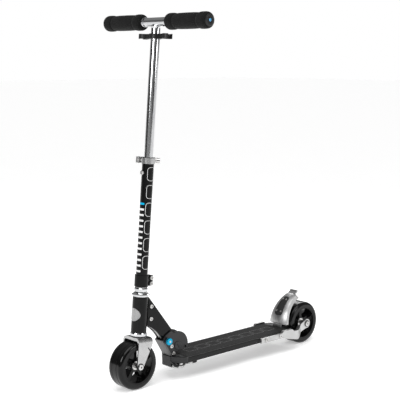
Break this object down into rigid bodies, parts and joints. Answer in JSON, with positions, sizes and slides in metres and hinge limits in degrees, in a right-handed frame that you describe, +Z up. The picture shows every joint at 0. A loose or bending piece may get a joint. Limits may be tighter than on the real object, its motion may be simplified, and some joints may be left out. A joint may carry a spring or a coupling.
{
  "type": "folding kick scooter",
  "caption": "Folding kick scooter: grippy deck, wide solid wheels, hinged stem, height-adjustable T-bar with pull-out foam handles, foot brake fender and kickstand.",
  "frame": {"origin": "on the ground under the middle of the scooter, midway between the two wheel axles", "axes": "+X forward, +Y to the rider's left, +Z up"},
  "size_m": [0.74, 0.383, 0.9273],
  "materials": {
    "tyre": "gloss",
    "wheel_core": "gloss",
    "bearing_steel": "satin",
    "bolt_steel": "satin",
    "black_steel": "satin",
    "spring_steel": "satin",
    "fork_metal": "satin",
    "painted_black": "gloss",
    "chrome_steel": "polished",
    "satin_aluminium": "satin",
    "badge_metal": "satin",
    "blue_anodised": "satin",
    "plastic_black": "matte",
    "button_steel": "satin",
    "handle_steel": "polished",
    "foam": "matte",
    "elastic": "matte",
    "grip_tape": "rough",
    "rubber_black": "matte"
  },
  "bodies": {
    "deck": {"deck_board": "satin_aluminium", "grip_tape": "grip_tape", "nose_casting": "satin_aluminium", "hinge_plate_left": "black_steel", "hinge_plate_right": "black_steel", "hinge_front_plate": "satin_aluminium", "hinge_bolts": "bolt_steel", "fold_pivot": "black_steel", "rear_stay_left": "satin_aluminium", "rear_stay_right": "satin_aluminium", "stay_screws": "bolt_steel", "rear_axle": "bolt_steel", "rear_spacers": "bolt_steel", "brake_hinge_pin": "bolt_steel", "brake_springs": "spring_steel", "kickstand_screw": "bolt_steel"},
    "rear_wheel": {"rear_tyre": "tyre", "rear_wheel_core": "wheel_core", "rear_bearings": "bearing_steel"},
    "brake": {"brake_fender": "satin_aluminium", "brake_inlay": "plastic_black", "brake_rivets": "bolt_steel", "brake_pad": "plastic_black"},
    "kickstand": {"kickstand_leg": "satin_aluminium", "kickstand_foot": "rubber_black"},
    "fold_lock": {"lock_knob": "blue_anodised", "lock_pin": "bolt_steel"},
    "neck": {"head_tube": "painted_black", "neck_plate_left": "painted_black", "neck_plate_right": "painted_black", "neck_spacer": "bolt_steel", "neck_bolts": "bolt_steel", "headset_cups": "chrome_steel", "head_badge": "badge_metal"},
    "steerer": {"fork": "fork_metal", "front_axle": "bolt_steel", "front_spacers": "bolt_steel", "headset_locknut": "chrome_steel", "stem_clamp": "painted_black", "stem_clamp_screws": "bolt_steel", "stem_tube": "painted_black", "top_collar": "satin_aluminium", "guide_bushes": "plastic_black", "clamp_bolt": "bolt_steel"},
    "front_wheel": {"front_tyre": "tyre", "front_wheel_core": "wheel_core", "front_bearings": "bearing_steel"},
    "clamp_lever": {"clamp_lever": "satin_aluminium"},
    "stem_button": {"stem_button": "button_steel"},
    "handlebar": {"t_bar": "chrome_steel", "handle_holder": "plastic_black", "handle_elastic": "elastic"},
    "handle_left": {"handle_tube_left": "handle_steel", "grip_left": "foam", "end_plug_left": "plastic_black"},
    "handle_right": {"handle_tube_right": "handle_steel", "grip_right": "foam", "end_plug_right": "plastic_black"},
    "handle_button_left": {"handle_button_left": "button_steel"},
    "handle_button_right": {"handle_button_right": "button_steel"}
  },
  "joints": [
    {"name": "rear_wheel_spin", "type": "hinge", "parent": "deck", "child": "rear_wheel", "pos_m": [-0.31, 0, 0.06], "axis": [0, 1, 0], "continuous": true},
    {"name": "stem_fold", "type": "hinge", "parent": "deck", "child": "neck", "pos_m": [0.174, 0, 0.086], "axis": [0, -1, 0], "range_deg": [0, 85]},
    {"name": "steering", "type": "hinge", "parent": "neck", "child": "steerer", "pos_m": [0.2972, 0, 0.06], "axis": [-0.0837, 0, 0.9965], "range_deg": [-60, 60]},
    {"name": "front_wheel_spin", "type": "hinge", "parent": "steerer", "child": "front_wheel", "pos_m": [0.31, 0, 0.06], "axis": [0, 1, 0], "continuous": true},
    {"name": "bar_height", "type": "slide", "parent": "steerer", "child": "handlebar", "axis": [-0.0837, 0, 0.9965], "range_m": [-0.27, 0]},
    {"name": "brake_press", "type": "hinge", "parent": "deck", "child": "brake", "pos_m": [-0.229, 0, 0.053], "axis": [0, -1, 0], "range_deg": [0, 6], "stiffness_Nm_per_rad": 3, "springref_deg": -5.73},
    {"name": "kickstand_swing", "type": "hinge", "parent": "deck", "child": "kickstand", "pos_m": [0.19, 0.028, 0.039], "axis": [0, -0.4695, -0.8829], "range_deg": [0, 60]},
    {"name": "clamp_lever_turn", "type": "hinge", "parent": "steerer", "child": "clamp_lever", "pos_m": [0.25721, -0.0344, 0.56141], "axis": [-0.0837, 0, 0.9965], "range_deg": [0, 110]},
    {"name": "fold_lock_pull", "type": "slide", "parent": "deck", "child": "fold_lock", "axis": [0, 1, 0], "range_m": [-0.005, 0]},
    {"name": "stem_button_press", "type": "slide", "parent": "steerer", "child": "stem_button", "axis": [-0.9965, 0, -0.0837], "range_m": [0, 0.0032], "stiffness_N_per_m": 300, "springref_m": 0.006},
    {"name": "handle_left_slide", "type": "slide", "parent": "handlebar", "child": "handle_left", "axis": [0, 1, 0], "range_m": [0, 0.036]},
    {"name": "handle_button_left_press", "type": "slide", "parent": "handle_left", "child": "handle_button_left", "axis": [0.0837, 0, -0.9965], "range_m": [0, 0.0022], "stiffness_N_per_m": 300, "springref_m": 0.004},
    {"name": "handle_right_slide", "type": "slide", "parent": "handlebar", "child": "handle_right", "axis": [0, -1, 0], "range_m": [0, 0.036]},
    {"name": "handle_button_right_press", "type": "slide", "parent": "handle_right", "child": "handle_button_right", "axis": [0.0837, 0, -0.9965], "range_m": [0, 0.0022], "stiffness_N_per_m": 300, "springref_m": 0.004}
  ]
}
